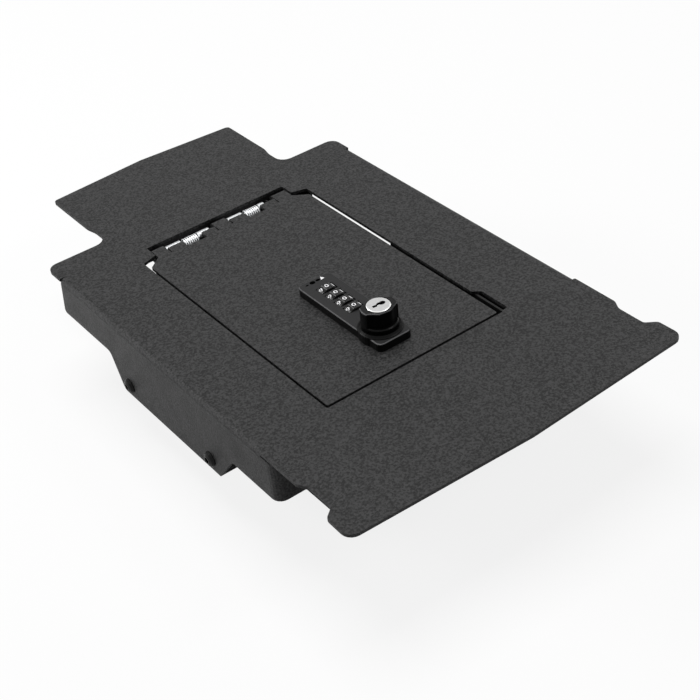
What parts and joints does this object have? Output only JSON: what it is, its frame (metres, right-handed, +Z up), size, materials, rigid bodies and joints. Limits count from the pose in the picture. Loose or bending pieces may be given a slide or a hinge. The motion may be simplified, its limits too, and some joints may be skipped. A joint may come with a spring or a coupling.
{
  "type": "console safe",
  "caption": "Black steel console safe: folded cover plate with a flush hinged lid, four-dial combination lock with keyed turn knob, and a vault tub below.",
  "frame": {"origin": "middle of the footprint of the whole part, on the surface that the tub's floor stands on", "axes": "+Z up through the cover plate, +Y from the wide front end towards the rear tongue, +X to the right seen from the front"},
  "size_m": [0.2632, 0.454, 0.1121],
  "materials": {
    "powder_coat": "fine textured matt black",
    "inner_paint": "matt black",
    "zinc_plate": "bright zinc",
    "black_oxide": "black oxide",
    "lock_black": "satin black",
    "knob_black": "satin black",
    "key_nickel": "satin nickel",
    "bumper_rubber": "matt"
  },
  "bodies": {
    "root": {"face_plate": "powder_coat", "vault_tub": "inner_paint", "strike_plate": "zinc_plate", "tie_bracket_left_front": "inner_paint", "tie_bracket_left_rear": "inner_paint", "tie_bracket_right_front": "inner_paint", "tie_bracket_right_rear": "inner_paint", "side_screw_left_front": "black_oxide", "side_screw_left_rear": "black_oxide", "side_screw_right_front": "black_oxide", "side_screw_right_rear": "black_oxide", "side_nut_left_front": "zinc_plate", "side_nut_left_rear": "zinc_plate", "side_nut_right_front": "zinc_plate", "side_nut_right_rear": "zinc_plate", "tie_rivet_left_front": "zinc_plate", "tie_rivet_left_rear": "zinc_plate", "tie_rivet_right_front": "zinc_plate", "tie_rivet_right_rear": "zinc_plate", "hinge_leaf_left": "zinc_plate", "hinge_leaf_right": "zinc_plate", "hinge_pin": "zinc_plate", "pin_clip": "zinc_plate", "leaf_rivet_1": "zinc_plate", "leaf_rivet_2": "zinc_plate", "leaf_rivet_3": "zinc_plate", "leaf_rivet_4": "zinc_plate", "torsion_spring_left": "zinc_plate", "torsion_spring_right": "zinc_plate", "lid_stop_left": "inner_paint", "lid_stop_right": "inner_paint", "stop_bumper_left": "bumper_rubber", "stop_bumper_right": "bumper_rubber"},
    "lid": {"door_panel": "powder_coat", "door_pan": "inner_paint", "lock_housing": "lock_black", "lock_clamp": "zinc_plate", "lock_screw_1": "black_oxide", "lock_screw_2": "black_oxide", "dial_axle": "zinc_plate"},
    "knob": {"lock_knob": "knob_black", "lock_spindle": "zinc_plate", "lock_cam": "zinc_plate", "cam_nut": "zinc_plate"},
    "key": {"key_cylinder": "key_nickel"},
    "dial_1": {"dial_1": "lock_black"},
    "dial_2": {"dial_2": "lock_black"},
    "dial_3": {"dial_3": "lock_black"},
    "dial_4": {"dial_4": "lock_black"}
  },
  "joints": [
    {"name": "lid_hinge", "type": "hinge", "parent": "root", "child": "lid", "pos_m": [0, 0.10435, 0.0844], "axis": [-1, 0, 0], "range_deg": [0, 100]},
    {"name": "knob_turn", "type": "hinge", "parent": "lid", "child": "knob", "pos_m": [-0.0037, -0.08745, 0.097], "axis": [0, 0, -1], "range_deg": [0, 90]},
    {"name": "key_turn", "type": "hinge", "parent": "knob", "child": "key", "pos_m": [-0.0037, -0.08745, 0.109], "axis": [0, 0, -1], "range_deg": [0, 90]},
    {"name": "dial_1_turn", "type": "hinge", "parent": "lid", "child": "dial_1", "pos_m": [-0.0032, -0.02875, 0.089], "axis": [0, 1, 0], "continuous": true},
    {"name": "dial_2_turn", "type": "hinge", "parent": "lid", "child": "dial_2", "pos_m": [-0.0032, -0.03875, 0.089], "axis": [0, 1, 0], "continuous": true},
    {"name": "dial_3_turn", "type": "hinge", "parent": "lid", "child": "dial_3", "pos_m": [-0.0032, -0.04875, 0.089], "axis": [0, 1, 0], "continuous": true},
    {"name": "dial_4_turn", "type": "hinge", "parent": "lid", "child": "dial_4", "pos_m": [-0.0032, -0.05875, 0.089], "axis": [0, 1, 0], "continuous": true}
  ]
}
